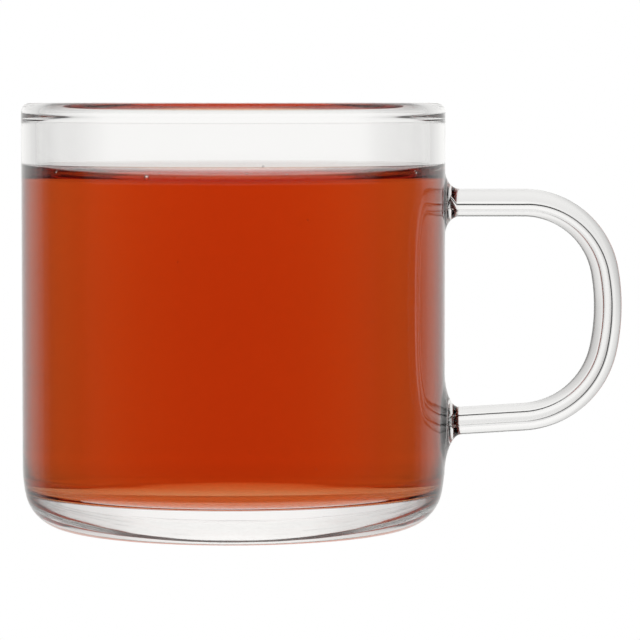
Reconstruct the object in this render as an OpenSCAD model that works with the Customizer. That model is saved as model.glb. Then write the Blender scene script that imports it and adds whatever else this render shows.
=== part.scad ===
// Glass cup of tea: a straight-sided cup with a heavy base, a rolled rim and
// a bent rod handle fused to its side, filled to a finger's width below the rim.
// Millimetres. +Z is up, +X points along the handle, and the origin lies on
// the cup's axis in the plane of the foot.

/* [Body] */
// outside diameter of the cup
cup_d = 85; // [70:1:100]
// height from the foot to the rim
cup_h = 85; // [75:1:110]
// thickness of the side wall
wall_t = 3; // [2:0.1:4]
// radius of the round bead along the rim
rim_r = 1.8; // [1.6:0.1:2.4]

/* [Base] */
// height of the lowest ring of the inner floor above the foot
base_t = 7.4; // [5:0.1:12]
// radius between the inner wall and the inner floor
floor_round = 4.2; // [2:0.1:8]
// how far the middle of the inner floor swells up
floor_rise = 1.9; // [0.5:0.1:4]
// height at which the outer wall starts to curve under
heel_h = 12.5; // [11:0.5:16]
// radius of the gentle upper part of the heel
heel_upper_r = 30; // [22:1:45]
// radius of the tight lower part of the heel
heel_lower_r = 8.3; // [5:0.1:10]

/* [Handle] */
// diameter of the glass rod
rod_d = 5.6; // [4:0.1:8]
// height of the upper arm's centreline
handle_z = 65; // [62:0.5:68]
// straight run of the upper arm, from the wall
arm_run = 15.8; // [12:0.1:24]
// centreline radius of the upper bend
upper_bend_r = 16.6; // [12:0.1:18]
// centreline radius of the gently curved grip
grip_bend_r = 40.8; // [34:0.1:44]
// centreline radius of the lower bend
lower_bend_r = 17.3; // [12:0.1:18]
// angle turned by the upper bend
upper_bend_deg = 79.75; // [76:0.25:82]
// angle turned by the grip
grip_bend_deg = 22.5; // [18:0.25:26]
// angle turned by the lower bend
lower_bend_deg = 74.25; // [70:0.25:77]
// radius of the fillet where the upper arm meets the wall
upper_weld_r = 3.4; // [1.5:0.1:5]
// radius of the fillet where the lower arm meets the wall
lower_weld_r = 4.6; // [1.5:0.1:6]

/* [Tea] */
// height of the tea's flat surface above the foot
tea_h = 69.5; // [40:0.1:72]
// how far the tea climbs the glass at its edge
tea_climb = 3.3; // [1:0.1:4]
// width of the curved edge of the tea
tea_edge_w = 4.2; // [4:0.1:6]

/* [Hidden] */
$fn = 96;

// the tea reaches this far into the glass, so that no film of air is left
tea_bite = 0.05;
// the handle's ends reach this far into the wall
weld_bite = 1;
// a weld's narrow end runs this far under the rod's skin
weld_tuck = 0.1;
// lengths of rod stop this far short of each other, inside a round seam that
// stands this far proud of the rod
seam_gap = 0.1;
seam_proud = 0.03;

// facets around the two very large arcs of a swelling
swell_fn = 720;

cup_r = cup_d / 2;
bore_r = cup_r - wall_t;
rod_r = rod_d / 2;

// The heel is two arcs: the upper one leaves the wall upright, and the lower
// one carries on from it without a corner and ends flat on the foot.
heel_split_deg = asin((heel_h - heel_lower_r) / (heel_upper_r - heel_lower_r));
heel_upper_x = cup_r - heel_upper_r;
foot_r = heel_upper_x + (heel_upper_r - heel_lower_r) * cos(heel_split_deg);

glass = [0.93, 0.95, 0.95, 0.35];
tea_brown = [0.6, 0.15, 0.02];

// A quarter-plane wedge from the x axis down to an angle, wide enough to cut
// a circle of the given radius.
module wedge_below(r, deg) {
    polygon([[0, 0], [2 * r, 0], [2 * r, -2 * r * tan(deg)]]);
}

// Half section of a gentle swelling, from its flat outer edge up to its flat
// top on the axis. Its outline is two equal arcs, one hollow and one round.
module swell_section(w, rise) {
    bend_r = (w * w + rise * rise) / (4 * rise);
    intersection() {
        translate([0, rise - bend_r])
            circle(bend_r, $fn = swell_fn);
        square([w / 2, 2 * rise]);
    }
    difference() {
        translate([w / 2, 0])
            square([w / 2, rise / 2]);
        translate([w, bend_r])
            circle(bend_r, $fn = swell_fn);
    }
}

// Half section of the cup without its cavity.
module body_section() {
    translate([0, heel_h])
        square([cup_r, cup_h - rim_r - heel_h]);
    translate([heel_upper_x, heel_h])
        intersection() {
            circle(heel_upper_r);
            wedge_below(heel_upper_r, heel_split_deg);
        }
    translate([foot_r, heel_lower_r])
        intersection() {
            circle(heel_lower_r);
            translate([0, -heel_lower_r])
                square([heel_lower_r, 2 * heel_lower_r]);
        }
    square([foot_r, heel_h]);
}

// Half section of everything inside a bore of radius r, from the floor up to
// the given top. The bite carries it on into the glass all round.
module bore_section(r, bite, top) {
    floor_z = base_t - bite;
    difference() {
        union() {
            translate([0, floor_z + floor_round])
                square([r, top - floor_z - floor_round]);
            translate([0, floor_z])
                square([r - floor_round, floor_round + bite]);
            translate([r - floor_round, floor_z + floor_round])
                intersection() {
                    circle(floor_round);
                    translate([0, -floor_round])
                        square([floor_round, floor_round + bite]);
                }
        }
        translate([0, floor_z])
            swell_section(bore_r - floor_round, floor_rise);
    }
}

// The turned body: wall, heavy base and rim bead.
module body() {
    rotate_extrude() {
        difference() {
            body_section();
            bore_section(bore_r, 0, cup_h);
        }
        translate([cup_r - rim_r, cup_h - rim_r])
            circle(rim_r);
    }
}

// The angle that a seam's gap takes up on a bend.
function seam_deg(bend_r) = seam_gap / bend_r * 180 / PI;

// A piece of bent rod between two seams. It starts at the origin running
// along +X and turns towards -Z about a centre below it.
module rod_bend(bend_r, deg) {
    translate([0, 0, -bend_r])
        rotate([90, deg - 90 - seam_deg(bend_r), 0])
            rotate_extrude(angle = deg - 2 * seam_deg(bend_r))
                translate([bend_r, 0])
                    circle(rod_r);
}

// Moves its children to the end of a bend, heading on along the rod.
module after_bend(bend_r, deg) {
    translate([bend_r * sin(deg), 0, bend_r * (cos(deg) - 1)])
        rotate([0, deg, 0])
            children();
}

// A straight piece of rod along +X, from one place to another.
module rod_run(from, to) {
    translate([from, 0, 0])
        rotate([0, 90, 0])
            cylinder(r = rod_r, h = to - from);
}

// The seam that joins two lengths of rod at the origin.
module seam() {
    sphere(rod_r + seam_proud);
}

// A trumpet of glass around an arm's end, flaring towards -X. Its plane end
// lies at x = 0 and reaches back into the wall.
module weld(weld_r) {
    flare_r = rod_r + weld_r;
    rotate([0, 90, 0])
        rotate_extrude()
            difference() {
                translate([0, -weld_bite])
                    square([flare_r, weld_r + weld_bite]);
                translate([flare_r, weld_r])
                    circle(weld_r + weld_tuck);
            }
}

// Depth of the round wall under a weld's rim, seen along the arm.
function wall_fall(weld_r) =
    cup_r - sqrt(cup_r * cup_r - pow(rod_r + weld_r, 2));

// Place where the lower bend ends, and the length of rod from there to the
// wall along the lower arm's heading.
turn_2_deg = upper_bend_deg + grip_bend_deg;
turn_3_deg = turn_2_deg + lower_bend_deg;
lower_bend_end_x = cup_r + arm_run
    + upper_bend_r * sin(upper_bend_deg)
    + grip_bend_r * (sin(turn_2_deg) - sin(upper_bend_deg))
    + lower_bend_r * (sin(turn_3_deg) - sin(turn_2_deg));
lower_bend_end_z = handle_z - upper_bend_r
    + upper_bend_r * cos(upper_bend_deg)
    + grip_bend_r * (cos(turn_2_deg) - cos(upper_bend_deg))
    + lower_bend_r * (cos(turn_3_deg) - cos(turn_2_deg));
lower_run = (lower_bend_end_x - cup_r) / -cos(turn_3_deg);
lower_z = lower_bend_end_z - lower_run * sin(turn_3_deg);

// The handle: one rod from the upper weld round to the lower weld.
module handle() {
    translate([cup_r, 0, handle_z])
        rod_run(-weld_bite, arm_run - seam_gap);
    translate([cup_r + arm_run, 0, handle_z]) {
        seam();
        rod_bend(upper_bend_r, upper_bend_deg);
        after_bend(upper_bend_r, upper_bend_deg) {
            seam();
            rod_bend(grip_bend_r, grip_bend_deg);
            after_bend(grip_bend_r, grip_bend_deg) {
                seam();
                rod_bend(lower_bend_r, lower_bend_deg);
                after_bend(lower_bend_r, lower_bend_deg) {
                    seam();
                    rod_run(seam_gap, lower_run + weld_bite);
                }
            }
        }
    }
    translate([cup_r - wall_fall(upper_weld_r), 0, handle_z])
        weld(upper_weld_r);
    translate([cup_r - wall_fall(lower_weld_r), 0, lower_z])
        weld(lower_weld_r);
}

module cup() {
    color(glass)
        union() {
            body();
            handle();
        }
}

// The tea: the cavity filled up to the line where it clings to the glass,
// with a shallow dish in the top that leaves the climbing edge standing.
module tea() {
    r = bore_r + tea_bite;
    dish_r = (tea_climb * tea_climb + tea_edge_w * tea_edge_w)
        / (2 * tea_climb);
    color(tea_brown)
        rotate_extrude()
            difference() {
                bore_section(r, tea_bite, tea_h + tea_climb);
                translate([0, tea_h])
                    square([bore_r - tea_edge_w, 2 * tea_climb]);
                translate([bore_r - tea_edge_w, tea_h + dish_r])
                    circle(dish_r);
            }
}

cup();
tea();
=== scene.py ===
"""A glass cup of tea in clear glass and clear amber tea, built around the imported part.

The cup is one mesh: a turned body joined to a bent rod handle, with a thin channel of air drawn
out along the rod. The tea is one mesh that reaches just into the glass, with small bubbles caught
in its edge, and grains of tea dust hang in it. Metres, in the part's own frame: +Z is up, +X
points along the handle, and the origin lies on the cup's axis in the plane of the foot.
"""

import math
import random

import bmesh
import bpy
import numpy as np
from mathutils import Matrix, Vector


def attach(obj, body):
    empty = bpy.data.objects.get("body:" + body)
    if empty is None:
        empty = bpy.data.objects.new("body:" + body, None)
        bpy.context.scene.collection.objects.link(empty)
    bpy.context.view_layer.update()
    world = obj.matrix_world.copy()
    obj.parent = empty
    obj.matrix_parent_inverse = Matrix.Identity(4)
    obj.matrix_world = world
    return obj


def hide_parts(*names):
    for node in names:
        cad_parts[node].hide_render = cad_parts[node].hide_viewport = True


# Sizes of the part, repeated from its source. A bend is (centreline radius, angle in degrees).
CUP_R = 0.0425
CUP_H = 0.085
BORE_R = 0.0395
RIM_R = 0.0018
BASE_T = 0.0074
FLOOR_ROUND = 0.0042
FLOOR_RISE = 0.0019
HEEL_H = 0.0125
HEEL_UPPER_R = 0.030
HEEL_LOWER_R = 0.0083
ROD_R = 0.0028
HANDLE_Z = 0.065
ARM_RUN = 0.0158
BENDS = [(0.0166, 79.75), (0.0408, 22.5), (0.0173, 74.25)]
TEA_H = 0.0695
TEA_CLIMB = 0.0033
TEA_BITE = 0.00005

# The fillet between the rim's bead and the bore.
NECK_R = 0.003

# The trumpets at the handle's joints: (length along the rod, widening all round). Each starts a
# hair under the wall's skin, on a plug of its full width that bites deeper into the wall.
UPPER_FLARE = (0.0029, 0.0040)
LOWER_FLARE = (0.0031, 0.0080)
FLARE_TUCK = 0.00002
WELD_BITE = 0.001

# The channel along the rod. It widens from the upper arm to the lower one, and is shifted to the
# inner side of the upper arm. It leaves out the first and last steps of the rod's path.
CHANNEL_R_START = 0.0006
CHANNEL_R_END = 0.00094
CHANNEL_SHIFT = 0.0007
CHANNEL_END_STEPS = 3

# The lens-shaped pocket of air at each end of the channel. It starts this far out from the wall's
# skin, so inside the wall. Its outline is half an ellipse from pole to pole, in degrees, and stops
# short of the outer pole to open into the channel.
POCKET_START = -0.0011
POCKET_HALF = 0.0006
POCKET_R = 0.0042
POCKET_TURNS = (5, 165)

# The distance over which surface tension draws the tea up the wall.
CAPILLARY_LENGTH = 0.0024

# Bubbles in the tea's edge: (angle round from the front in degrees, radius). A bubble's centre
# stays this many of its radii away from the glass and from the surface.
BUBBLES = [
    (-23, 0.0005),
    (-19, 0.0002),
    (5, 0.0002),
    (16, 0.00028),
    (62, 0.00032),
    (97, 0.0002),
    (118, 0.00035),
    (172, 0.00024),
    (201, 0.0005),
    (236, 0.0004),
    (304, 0.00025),
]
BUBBLE_STANDOFF = 1.08

# Grains of tea dust: radii, depths from the glass, and unevenness in shares of the radius.
SPECK_COUNT = 14
SPECK_SEED = 11
SPECK_RADII = (0.00005, 0.00012)
SPECK_DEPTHS = (0.0005, 0.0045)
SPECK_UNEVENNESS = 0.25

# How finely the meshes are stepped. A ball's level is Blender's number of subdivisions.
BODY_SEGMENTS = 256
ROD_SEGMENTS = 48
ROD_STEP = 0.0007
STRAIGHT_STEPS = 16
LEVEL_STEPS = 10
HEEL_UPPER_STEPS = 14
HEEL_LOWER_STEPS = 28
BEAD_STEPS = 40
NECK_STEPS = 12
FLOOR_ROUND_STEPS = 32
SWELL_STEPS = 24
FLARE_STEPS = 18
POCKET_STEPS = 24
MENISCUS_STEPS = 60
BUBBLE_LEVEL = 3
SPECK_LEVEL = 2

# Edges that turn by more than this are shaded sharp.
SHARP_DEG = 30

# Glass and tea. The waves in their surfaces are (length, depth).
GLASS_IOR = 1.47
TEA_IOR = 1.333
GLASS_WAVES = (0.007, 0.00001)
TEA_WAVES = (0.012, 0.000006)
TEA_DENSITY = 80.0
TEA_COLOUR = (0.899, 0.462, 0.0105, 1.0)
WHITE = (1, 1, 1, 1)
BLACK = (0, 0, 0, 1)

# Tea dust. Its greys are stops (noise value, level).
DUST_ROUGHNESS = 0.7
DUST_GRAIN_SCALE = 9000
DUST_GREYS = [(0.3, 0.02), (0.7, 0.12)]

# The studio's brightness by direction, as stops (angle in degrees, level). FADE, MIRRORED and
# THROUGH go by the angle round from straight behind the cup, and UPRIGHT by the angle down from
# overhead.
DIM = 0.035
FRONT = 0.7
FADE = [
    (66, DIM),
    (59, 0.15),
    (53, 0.42),
    (46, 0.62),
    (35, 0.74),
    (25, 0.82),
    (12, 0.97),
    (0, 1.0),
]
MIRRORED = [(180, DIM)] + FADE
THROUGH = [(180, FRONT), (100, FRONT), (85, DIM)] + FADE
UPRIGHT = [
    (180, 0.9),
    (120, 0.9),
    (98, 0.85),
    (94, 0.92),
    (90.5, 1.0),
    (70, 1.0),
    (45, 0.85),
    (32, 0.03),
    (0, 0.03),
]
STUDIO_TINT = (1.0, 0.995, 0.982)
LIGHT_BOUNCES = 32
GLOSSY_BOUNCES = 16

FLOOR_R = 1.5
FLOOR_DROP = 0.0002
FLOOR_SIDES = 96

# The camera looks level along +Y, tipped down to aim at a height on the cup's axis.
CAMERA_X = 0.01737
CAMERA_DISTANCE = 0.7141
CAMERA_H = 0.0858
AIM_H = 0.04137
LENS_MM = 199.9
SENSOR_MM = 36.0


# ---------------------------------------------------------------- mesh helpers

def add_object(name, mesh):
    """An object of a mesh, in the scene."""
    obj = bpy.data.objects.new(name, mesh)
    bpy.context.scene.collection.objects.link(obj)
    return obj


def shade(mesh):
    """Shades a mesh smooth but for its true corners."""
    mesh.shade_smooth()
    mesh.set_sharp_from_angle(angle=math.radians(SHARP_DEG))


def new_object(name, verts, faces):
    """An object of points and faces."""
    mesh = bpy.data.meshes.new(name)
    mesh.from_pydata(verts, [], faces)
    shade(mesh)
    return add_object(name, mesh)


def arc(centre, radius, start, end, steps):
    """Points (r, z) on an arc; angles in degrees, from +r towards +z."""
    angles = np.radians(np.linspace(start, end, steps + 1))
    return [(centre[0] + radius * math.cos(a), centre[1] + radius * math.sin(a)) for a in angles]


def line(start, end, steps):
    """Points (r, z) strictly between two points, closer together towards both ends."""
    shares = 0.5 - 0.5 * np.cos(np.linspace(0, math.pi, steps + 1))[1:-1]
    return [
        (start[0] + s * (end[0] - start[0]), start[1] + s * (end[1] - start[1]))
        for s in shares
    ]


def swell(edge, rise):
    """Points (r, z) from an edge in to the axis, up a gentle S of two equal arcs."""
    width, z = edge
    bend_r = (width**2 + rise**2) / (4 * rise)
    half = math.degrees(math.asin(width / 2 / bend_r))
    outer = arc((width, z + bend_r), bend_r, -90, -90 - half, SWELL_STEPS)
    inner = arc((0, z + rise - bend_r), bend_r, 90 - half, 90, SWELL_STEPS)
    return outer[1:] + inner[1:-1] + [(0, z + rise)]


def lathe(name, profile):
    """A solid of revolution. The profile runs from the axis below to the axis above."""
    circles = profile[1:-1]
    turns = [2 * math.pi * k / BODY_SEGMENTS for k in range(BODY_SEGMENTS)]
    verts = [(r * math.cos(t), r * math.sin(t), z) for r, z in circles for t in turns]
    below, above = len(verts), len(verts) + 1
    verts += [(0, 0, profile[0][1]), (0, 0, profile[-1][1])]
    last = (len(circles) - 1) * BODY_SEGMENTS
    faces = []
    for k in range(BODY_SEGMENTS):
        n = (k + 1) % BODY_SEGMENTS
        faces.append((below, n, k))
        faces.append((above, last + k, last + n))
        for a in range(0, last, BODY_SEGMENTS):
            b = a + BODY_SEGMENTS
            faces.append((a + k, a + n, b + n, b + k))
    return new_object(name, verts, faces)


def ring(centre, away, radius):
    """A circle of points square to a direction in the XZ plane."""
    across = np.array([-away[2], 0, away[0]])
    sideways = np.array([0, 1, 0])
    turns = np.linspace(0, 2 * math.pi, ROD_SEGMENTS, endpoint=False)
    return [centre + radius * (math.cos(t) * across + math.sin(t) * sideways) for t in turns]


def tube(name, rings):
    """A closed tube through rings of points."""
    verts = [tuple(p) for points in rings for p in points]
    last = len(verts) - ROD_SEGMENTS
    faces = [tuple(range(ROD_SEGMENTS)), tuple(range(len(verts) - 1, last - 1, -1))]
    for a in range(0, last, ROD_SEGMENTS):
        b = a + ROD_SEGMENTS
        for k in range(ROD_SEGMENTS):
            n = (k + 1) % ROD_SEGMENTS
            faces.append((a + k, b + k, b + n, a + n))
    return new_object(name, verts, faces)


def ball(name, centre, radius, level):
    """A round ball of triangles."""
    shape = bmesh.new()
    place = Matrix.Translation(centre)
    bmesh.ops.create_icosphere(shape, subdivisions=level, radius=radius, matrix=place)
    mesh = bpy.data.meshes.new(name)
    shape.to_mesh(mesh)
    shape.free()
    mesh.shade_smooth()
    return add_object(name, mesh)


def join_solids(obj, other):
    """Fuses another solid into an object and removes the other."""
    union = obj.modifiers.new("union", "BOOLEAN")
    union.operation = "UNION"
    union.solver = "EXACT"
    union.object = other
    bpy.context.view_layer.objects.active = obj
    bpy.ops.object.modifier_apply(modifier=union.name)
    bpy.data.objects.remove(other)
    shade(obj.data)


def add_shell(obj, shell):
    """Makes a separate closed surface part of an object's mesh."""
    bpy.ops.object.select_all(action="DESELECT")
    shell.select_set(True)
    obj.select_set(True)
    bpy.context.view_layer.objects.active = obj
    bpy.ops.object.join()


# ---------------------------------------------------------------- the cup

def body_profile():
    """Outline of the body: foot, heel, wall, rim bead, neck, bore and floor."""
    split = math.asin((HEEL_H - HEEL_LOWER_R) / (HEEL_UPPER_R - HEEL_LOWER_R))
    split_deg = math.degrees(split)
    upper_x = CUP_R - HEEL_UPPER_R
    foot_r = upper_x + (HEEL_UPPER_R - HEEL_LOWER_R) * math.cos(split)
    bead = (CUP_R - RIM_R, CUP_H - RIM_R)
    neck_x = BORE_R - NECK_R
    bead_end = 180 + math.degrees(math.acos((bead[0] - neck_x) / (RIM_R + NECK_R)))
    neck_z = bead[1] + (RIM_R + NECK_R) * math.sin(math.radians(bead_end))
    bead_arc = arc(bead, RIM_R, 0, bead_end, BEAD_STEPS)
    floor_corner = (BORE_R - FLOOR_ROUND, BASE_T + FLOOR_ROUND)
    floor_arc = arc(floor_corner, FLOOR_ROUND, 0, -90, FLOOR_ROUND_STEPS)
    return (
        [(0, 0)]
        + line((0, 0), (foot_r, 0), LEVEL_STEPS)
        + arc((foot_r, HEEL_LOWER_R), HEEL_LOWER_R, -90, -split_deg, HEEL_LOWER_STEPS)
        + arc((upper_x, HEEL_H), HEEL_UPPER_R, -split_deg, 0, HEEL_UPPER_STEPS)[1:]
        + line((CUP_R, HEEL_H), bead_arc[0], STRAIGHT_STEPS)
        + bead_arc
        + arc((neck_x, neck_z), NECK_R, bead_end - 180, 0, NECK_STEPS)[1:]
        + line((BORE_R, neck_z), floor_arc[0], STRAIGHT_STEPS)
        + floor_arc
        + swell(floor_arc[-1], FLOOR_RISE)
    )


def heading_vector(heading):
    """Unit vector of a heading, which turns down from +X."""
    return np.array([math.cos(heading), 0, -math.sin(heading)])


def rod_path():
    """Centreline of the handle from wall to wall, as places and headings."""
    place = np.array([CUP_R, 0, HANDLE_Z])
    places, headings = [place], [0.0]

    def go(length, bend_r):
        """Carries the path on by a length, turning down on a bend or running straight."""
        nonlocal place
        steps = max(2, math.ceil(length / ROD_STEP))
        for _ in range(steps):
            turn = length / steps / bend_r if bend_r else 0.0
            chord = 2 * bend_r * math.sin(turn / 2) if bend_r else length / steps
            place = place + chord * heading_vector(headings[-1] + turn / 2)
            places.append(place)
            headings.append(headings[-1] + turn)

    go(ARM_RUN, None)
    for bend_r, deg in BENDS:
        go(bend_r * math.radians(deg), bend_r)
    go((place[0] - CUP_R) / -math.cos(headings[-1]), None)
    return np.array(places), np.array(headings)


def flare_rings(joint, away, flare):
    """Rings of the trumpet at a joint, from inside the wall out to the rod.

    The first rings follow the round wall, and the last one is square to the rod.
    """
    run, rise = flare
    stations = [(1.0, ROD_R + rise, -WELD_BITE)]
    for angle in np.radians(np.linspace(0, 90, FLARE_STEPS + 1)):
        share = math.cos(angle)
        stand = run * (1 - share) - FLARE_TUCK * share
        stations.append((share, ROD_R + rise * (1 - math.sin(angle)), stand))
    rings = []
    for share, radius, stand in stations:
        points = []
        for p in ring(joint, away, radius):
            fall = (p[0] - math.sqrt(CUP_R**2 - p[1] ** 2)) / away[0]
            points.append(p + away * (stand - share * fall))
        rings.append(points)
    return rings


def handle():
    """The bent rod with a trumpet at each end, both reaching into the wall."""
    places, headings = rod_path()
    distances = np.concatenate([[0], np.cumsum(np.linalg.norm(np.diff(places, axis=0), axis=1))])
    first = UPPER_FLARE[0] + ROD_STEP / 2
    last = distances[-1] - LOWER_FLARE[0] - ROD_STEP / 2
    rings = flare_rings(places[0], heading_vector(headings[0]), UPPER_FLARE)
    for place, heading, distance in zip(places, headings, distances):
        if first < distance < last:
            rings.append(ring(place, heading_vector(heading), ROD_R))
    # The lower trumpet is built outwards from the wall, so its rings are taken last to first, with
    # their points reordered to match those of the rod.
    half = ROD_SEGMENTS // 2
    for points in reversed(flare_rings(places[-1], -heading_vector(headings[-1]), LOWER_FLARE)):
        mirrored = [points[0]] + points[:0:-1]
        rings.append(mirrored[half:] + mirrored[:half])
    return tube("handle_rod", rings)


def pocket_rings(joint, along, outwards):
    """Rings of the air pocket at a joint, from inside the wall out to the channel.

    Outwards is 1 where the rod's path leaves the wall, and -1 where it comes back.
    """
    rings = []
    for turn in np.radians(np.linspace(*POCKET_TURNS, POCKET_STEPS)):
        reach = POCKET_START + POCKET_HALF * (1 - math.cos(turn))
        centre = joint + outwards * reach * along
        rings.append(ring(centre, along, POCKET_R * math.sin(turn))[::-1])
    return rings


def channel():
    """The thin channel along the rod and its two pockets, as one closed surface facing inwards."""
    places, headings = rod_path()
    rings = pocket_rings(places[0], heading_vector(headings[0]), 1)
    for step in range(CHANNEL_END_STEPS, len(places) - CHANNEL_END_STEPS):
        heading = headings[step]
        turned = heading / headings[-1]
        inward = np.array([-math.sin(heading), 0, -math.cos(heading)])
        centre = places[step] + CHANNEL_SHIFT * max(0, 1 - 2 * turned) * inward
        radius = CHANNEL_R_START + turned * (CHANNEL_R_END - CHANNEL_R_START)
        rings.append(ring(centre, heading_vector(heading), radius)[::-1])
    rings += pocket_rings(places[-1], heading_vector(headings[-1]), -1)[::-1]
    return tube("handle_channel", rings)


def is_wetted(place):
    """Whether a place on the glass is covered by the tea."""
    in_bore = math.hypot(place.x, place.y) < BORE_R + TEA_BITE and place.z > BASE_T - TEA_BITE
    return in_bore and place.z < TEA_H + TEA_CLIMB


def build_cup(glass, wetted):
    """The glass: body and handle in one, with the channel as a hollow in it."""
    cup = lathe("cup_glass", body_profile())
    join_solids(cup, handle())
    add_shell(cup, channel())
    cup.data.materials.append(glass)
    cup.data.materials.append(wetted)
    for face in cup.data.polygons:
        face.material_index = int(is_wetted(face.center))
    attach(cup, "root")
    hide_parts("cup")


# ---------------------------------------------------------------- the tea

def meniscus():
    """Surface of the tea from the wall inwards: (distance from the wall, height above level).

    The shape is that of a liquid against an upright wall, from surface tension and weight. It is
    worked out from half the slope of the surface.
    """
    def distance(half_slope):
        return CAPILLARY_LENGTH * (math.acosh(1 / math.sin(half_slope)) - 2 * math.cos(half_slope))

    steepest = math.asin(TEA_CLIMB / 2 / CAPILLARY_LENGTH)
    slopes = np.linspace(steepest, steepest / MENISCUS_STEPS, MENISCUS_STEPS)
    return [(distance(a) - distance(steepest), 2 * CAPILLARY_LENGTH * math.sin(a)) for a in slopes]


def tea_profile():
    """Outline of the tea: floor, side in the glass, clinging edge and level top."""
    corner = (BORE_R - FLOOR_ROUND, BASE_T + FLOOR_ROUND)
    floor_arc = arc(corner, FLOOR_ROUND + TEA_BITE, -90, 0, FLOOR_ROUND_STEPS)
    surface = [(BORE_R - x, TEA_H + h) for x, h in meniscus()]
    contact = (BORE_R + TEA_BITE, surface[0][1] + TEA_BITE)
    return (
        swell(floor_arc[0], FLOOR_RISE)[::-1]
        + floor_arc
        + line(floor_arc[-1], contact, STRAIGHT_STEPS)
        + [contact]
        + surface
        + line(surface[-1], (0, TEA_H), LEVEL_STEPS)
        + [(0, TEA_H)]
    )


def around(angle, radius, z):
    """A place by angle in degrees round from the front, distance from the axis and height."""
    turn = math.radians(angle)
    return (radius * math.sin(turn), -radius * math.cos(turn), z)


def bubble(angle, radius):
    """A bubble caught between the glass and the tea's drawn-up edge, facing inwards."""
    reach = BUBBLE_STANDOFF * radius
    near = [(x, h) for x, h in meniscus() if abs(x - reach) < reach]
    height = min(h - math.sqrt(reach**2 - (x - reach) ** 2) for x, h in near)
    obj = ball("bubble", around(angle, BORE_R - reach, TEA_H + height), radius, BUBBLE_LEVEL)
    obj.data.flip_normals()
    return obj


def build_tea(material):
    """The tea, with its bubbles as hollows in it."""
    tea = lathe("tea_fill", tea_profile())
    for angle, radius in BUBBLES:
        add_shell(tea, bubble(angle, radius))
    tea.data.materials.append(material)
    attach(tea, "root")
    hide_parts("tea")


def grain(name):
    """An uneven grain of tea dust somewhere in the tea, close to the glass."""
    radius = random.uniform(*SPECK_RADII)
    depth = random.uniform(*SPECK_DEPTHS)
    z = random.uniform(BASE_T + FLOOR_ROUND, TEA_H - SPECK_DEPTHS[1])
    angle = random.uniform(0, 360)
    obj = ball(name, around(angle, BORE_R - depth, z), radius, SPECK_LEVEL)
    for vertex in obj.data.vertices:
        shift = [random.uniform(-SPECK_UNEVENNESS, SPECK_UNEVENNESS) for _ in range(3)]
        vertex.co += radius * Vector(shift)
    return obj


def build_specks(material):
    """All the grains of tea dust, as one piece."""
    random.seed(SPECK_SEED)
    specks = grain("tea_specks")
    for _ in range(SPECK_COUNT - 1):
        add_shell(specks, grain("grain"))
    specks.data.materials.append(material)
    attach(specks, "root")


# ---------------------------------------------------------------- node helpers

def new_material(name):
    """A material with its nodes and links."""
    material = bpy.data.materials.new(name)
    material.use_nodes = True
    return material, material.node_tree.nodes, material.node_tree.links


def feed(links, value, socket):
    """Links a node's output to a socket, or sets the socket to a plain value."""
    if isinstance(value, bpy.types.NodeSocket):
        links.new(value, socket)
    else:
        socket.default_value = value


def add_ramp(nodes, links, value, stops):
    """A grey level read off a value along eased stops (value, level)."""
    ramp = nodes.new("ShaderNodeValToRGB")
    ramp.color_ramp.interpolation = "EASE"
    elements = ramp.color_ramp.elements
    for _ in range(len(stops) - 2):
        elements.new(0.5)
    for element, (position, level) in zip(elements, stops):
        element.position = position
        element.color = (level, level, level, 1)
    links.new(value, ramp.inputs["Fac"])
    return ramp.outputs["Color"]


def angle_ramp(nodes, links, cosine, stops):
    """A grey level read off a cosine along stops (angle in degrees, level), widest angle first."""
    share = nodes.new("ShaderNodeMapRange")
    share.inputs["From Min"].default_value = -1
    share.inputs["From Max"].default_value = 1
    links.new(cosine, share.inputs["Value"])
    places = [(0.5 + 0.5 * math.cos(math.radians(angle)), level) for angle, level in stops]
    return add_ramp(nodes, links, share.outputs["Result"], places)


def mix(nodes, links, factor, a, b):
    """Colour a where the factor is 0, colour b where it is 1."""
    node = nodes.new("ShaderNodeMix")
    node.data_type = "RGBA"
    links.new(factor, node.inputs["Factor"])
    colours = [socket for socket in node.inputs if socket.type == "RGBA"]
    for socket, colour in zip(colours, (a, b)):
        feed(links, colour, socket)
    return [socket for socket in node.outputs if socket.type == "RGBA"][0]


def vector_math(nodes, links, operation, *values):
    """The result of a vector operation on nodes' outputs or plain vectors."""
    node = nodes.new("ShaderNodeVectorMath")
    node.operation = operation
    for value, socket in zip(values, node.inputs):
        feed(links, value, socket)
    return node.outputs["Vector"]


def separate(nodes, links, vector):
    """The outputs X, Y and Z of a vector."""
    node = nodes.new("ShaderNodeSeparateXYZ")
    links.new(vector, node.inputs["Vector"])
    return node.outputs


# ---------------------------------------------------------------- materials

def clear_shader(nodes, ior):
    """Sets the material's own shader to smooth clear glass or liquid."""
    shader = nodes["Principled BSDF"]
    shader.inputs["Base Color"].default_value = WHITE
    shader.inputs["Roughness"].default_value = 0.0
    shader.inputs["IOR"].default_value = ior
    shader.inputs["Transmission Weight"].default_value = 1.0
    return shader


def waviness(nodes, links, shader, wave, depth):
    """Gives a surface very slight waves, such as worked glass and a liquid at rest have."""
    place = nodes.new("ShaderNodeTexCoord").outputs["Object"]
    noise = nodes.new("ShaderNodeTexNoise")
    noise.inputs["Scale"].default_value = 1 / wave
    noise.inputs["Detail"].default_value = 1
    links.new(place, noise.inputs["Vector"])
    bump = nodes.new("ShaderNodeBump")
    bump.inputs["Distance"].default_value = depth
    links.new(noise.outputs["Fac"], bump.inputs["Height"])
    links.new(bump.outputs["Normal"], shader.inputs["Normal"])


def glass_material():
    """Clear glass in air."""
    material, nodes, links = new_material("clear_glass")
    waviness(nodes, links, clear_shader(nodes, GLASS_IOR), *GLASS_WAVES)
    return material


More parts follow.
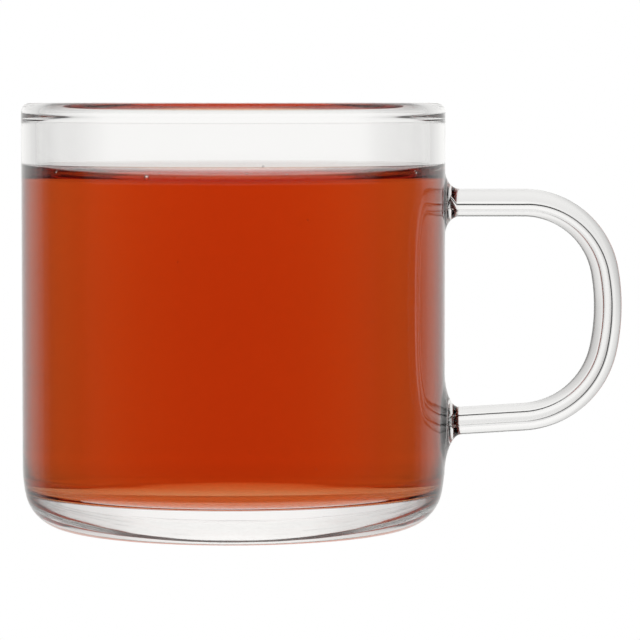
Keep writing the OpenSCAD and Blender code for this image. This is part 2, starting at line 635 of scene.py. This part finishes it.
def wetted_glass_material():
    """Glass under the tea. The two are so alike that the surface between them barely mirrors."""
    material, nodes, links = new_material("wetted_glass")
    shader = clear_shader(nodes, GLASS_IOR)
    shader.inputs["Specular Tint"].default_value = BLACK
    waviness(nodes, links, shader, *GLASS_WAVES)
    return material


def tea_material():
    """Clear amber tea. Its top mirrors as water does, and its sides, against the glass, do not."""
    material, nodes, links = new_material("amber_tea")
    shader = clear_shader(nodes, TEA_IOR)
    waviness(nodes, links, shader, *TEA_WAVES)
    place = nodes.new("ShaderNodeNewGeometry").outputs["Position"]
    on_top = nodes.new("ShaderNodeMath")
    on_top.operation = "GREATER_THAN"
    on_top.inputs[1].default_value = TEA_H - TEA_BITE
    links.new(separate(nodes, links, place)["Z"], on_top.inputs[0])
    links.new(on_top.outputs[0], shader.inputs["Specular Tint"])
    absorption = nodes.new("ShaderNodeVolumeAbsorption")
    absorption.inputs["Color"].default_value = TEA_COLOUR
    absorption.inputs["Density"].default_value = TEA_DENSITY
    links.new(absorption.outputs["Volume"], nodes["Material Output"].inputs["Volume"])
    return material


def speck_material():
    """Dull dark tea leaf, a little mottled."""
    material, nodes, links = new_material("tea_dust")
    shader = nodes["Principled BSDF"]
    shader.inputs["Roughness"].default_value = DUST_ROUGHNESS
    mottle = nodes.new("ShaderNodeTexNoise")
    mottle.inputs["Scale"].default_value = DUST_GRAIN_SCALE
    colour = add_ramp(nodes, links, mottle.outputs["Fac"], DUST_GREYS)
    links.new(colour, shader.inputs["Base Color"])
    return material


# ---------------------------------------------------------------- studio

def build_world():
    """Soft studio light by direction: white behind the cup, and dim to the sides and above.

    The front is dim in what the surfaces mirror and paler in what is seen through them. The
    camera itself sees plain white.
    """
    world = bpy.data.worlds.new("studio")
    bpy.context.scene.world = world
    world.use_nodes = True
    nodes, links = world.node_tree.nodes, world.node_tree.links
    direction = nodes.new("ShaderNodeTexCoord").outputs["Generated"]
    path = nodes.new("ShaderNodeLightPath").outputs
    level = vector_math(nodes, links, "MULTIPLY", direction, (1, 1, 0))
    from_behind = separate(nodes, links, vector_math(nodes, links, "NORMALIZE", level))["Y"]
    mirrored = angle_ramp(nodes, links, from_behind, MIRRORED)
    through = angle_ramp(nodes, links, from_behind, THROUGH)
    across = mix(nodes, links, path["Is Transmission Ray"], mirrored, through)
    upright = angle_ramp(nodes, links, separate(nodes, links, direction)["Z"], UPRIGHT)
    lit = vector_math(nodes, links, "MULTIPLY", across, upright)
    tinted = vector_math(nodes, links, "MULTIPLY", lit, STUDIO_TINT)
    seen = mix(nodes, links, path["Is Camera Ray"], tinted, WHITE)
    links.new(seen, nodes["Background"].inputs["Color"])


def build_floor():
    """A white table. It is seen only directly: what the glass bends comes from the studio."""
    turns = np.linspace(0, 2 * math.pi, FLOOR_SIDES, endpoint=False)
    edge = [(FLOOR_R * math.cos(t), FLOOR_R * math.sin(t), -FLOOR_DROP) for t in turns]
    floor = new_object("floor", edge, [tuple(range(FLOOR_SIDES))])
    floor.visible_transmission = False
    floor.visible_glossy = False
    material, nodes, links = new_material("lit_table")
    glow = nodes.new("ShaderNodeEmission")
    glow.inputs["Color"].default_value = WHITE
    links.new(glow.outputs[0], nodes["Material Output"].inputs["Surface"])
    floor.data.materials.append(material)


def build_camera():
    """A long lens in front of the cup, a little above the rim."""
    data = bpy.data.cameras.new("camera")
    data.lens = LENS_MM
    data.sensor_width = SENSOR_MM
    camera = bpy.data.objects.new("camera", data)
    camera.location = (CAMERA_X, -CAMERA_DISTANCE, CAMERA_H)
    tip = math.atan2(CAMERA_H - AIM_H, CAMERA_DISTANCE)
    camera.rotation_euler = (math.pi / 2 - tip, 0, 0)
    bpy.context.scene.collection.objects.link(camera)
    bpy.context.scene.camera = camera


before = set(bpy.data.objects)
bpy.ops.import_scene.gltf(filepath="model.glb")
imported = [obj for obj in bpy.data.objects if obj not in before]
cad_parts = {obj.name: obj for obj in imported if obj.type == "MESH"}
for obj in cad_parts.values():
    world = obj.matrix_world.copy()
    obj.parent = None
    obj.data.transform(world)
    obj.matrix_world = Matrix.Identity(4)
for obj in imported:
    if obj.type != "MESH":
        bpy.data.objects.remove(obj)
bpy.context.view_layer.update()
build_cup(glass_material(), wetted_glass_material())
build_tea(tea_material())
build_specks(speck_material())
build_floor()
build_world()
build_camera()

scene = bpy.context.scene
scene.view_settings.view_transform = "Standard"
scene.cycles.max_bounces = LIGHT_BOUNCES
scene.cycles.transmission_bounces = LIGHT_BOUNCES
scene.cycles.glossy_bounces = GLOSSY_BOUNCES
